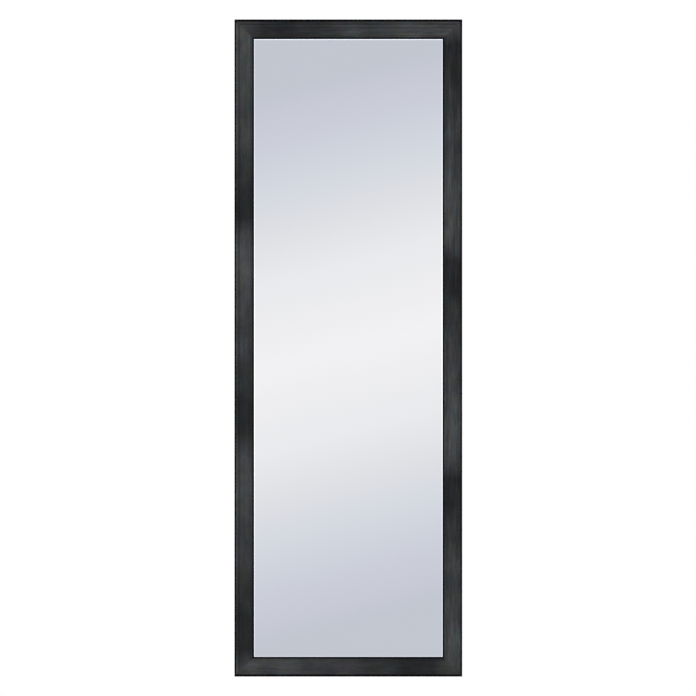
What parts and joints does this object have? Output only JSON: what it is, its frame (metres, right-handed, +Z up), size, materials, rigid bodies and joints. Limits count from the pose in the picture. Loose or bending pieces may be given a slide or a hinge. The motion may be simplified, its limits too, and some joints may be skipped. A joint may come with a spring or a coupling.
{
  "type": "wall mirror",
  "caption": "Tall rectangular wall mirror: a flat silvered pane in a slim mitred charcoal frame, with swinging D-ring hangers and rubber bumpers on its back.",
  "frame": {"origin": "on the wall plane (the bumpers' rear faces), midway between the two wall hooks' seats in the rings", "axes": "+Z up along the mirror's height, +X to the right seen from the front, +Y back into the wall"},
  "size_m": [0.4444, 0.025, 1.2827],
  "materials": {
    "foil_wrapped_mdf": "satin",
    "silvered_glass": "polished",
    "hardboard": "matte",
    "zinc_plated_steel": "satin",
    "spring_steel": "satin",
    "black_rubber": "matte"
  },
  "bodies": {
    "mirror": {"left_stile": "foil_wrapped_mdf", "bottom_rail": "foil_wrapped_mdf", "right_stile": "foil_wrapped_mdf", "top_rail": "foil_wrapped_mdf", "mirror_glass": "silvered_glass", "backing_board": "hardboard", "left_hanger_strap": "zinc_plated_steel", "right_hanger_strap": "zinc_plated_steel", "left_hanger_screws": "zinc_plated_steel", "right_hanger_screws": "zinc_plated_steel", "left_points": "spring_steel", "bottom_points": "spring_steel", "right_points": "spring_steel", "top_points": "spring_steel", "top_left_v_nails": "spring_steel", "bottom_left_v_nails": "spring_steel", "bottom_right_v_nails": "spring_steel", "top_right_v_nails": "spring_steel", "lower_left_bumper": "black_rubber", "lower_right_bumper": "black_rubber"},
    "left_ring": {"left_hanger_ring": "zinc_plated_steel"},
    "right_ring": {"right_hanger_ring": "zinc_plated_steel"}
  },
  "joints": [
    {"name": "left_ring_swing", "type": "hinge", "parent": "mirror", "child": "left_ring", "pos_m": [-0.20675, -0.00265, -0.01668], "axis": [-1, 0, 0], "range_deg": [0, 176]},
    {"name": "right_ring_swing", "type": "hinge", "parent": "mirror", "child": "right_ring", "pos_m": [0.20675, -0.00265, -0.01668], "axis": [-1, 0, 0], "range_deg": [0, 176]}
  ]
}
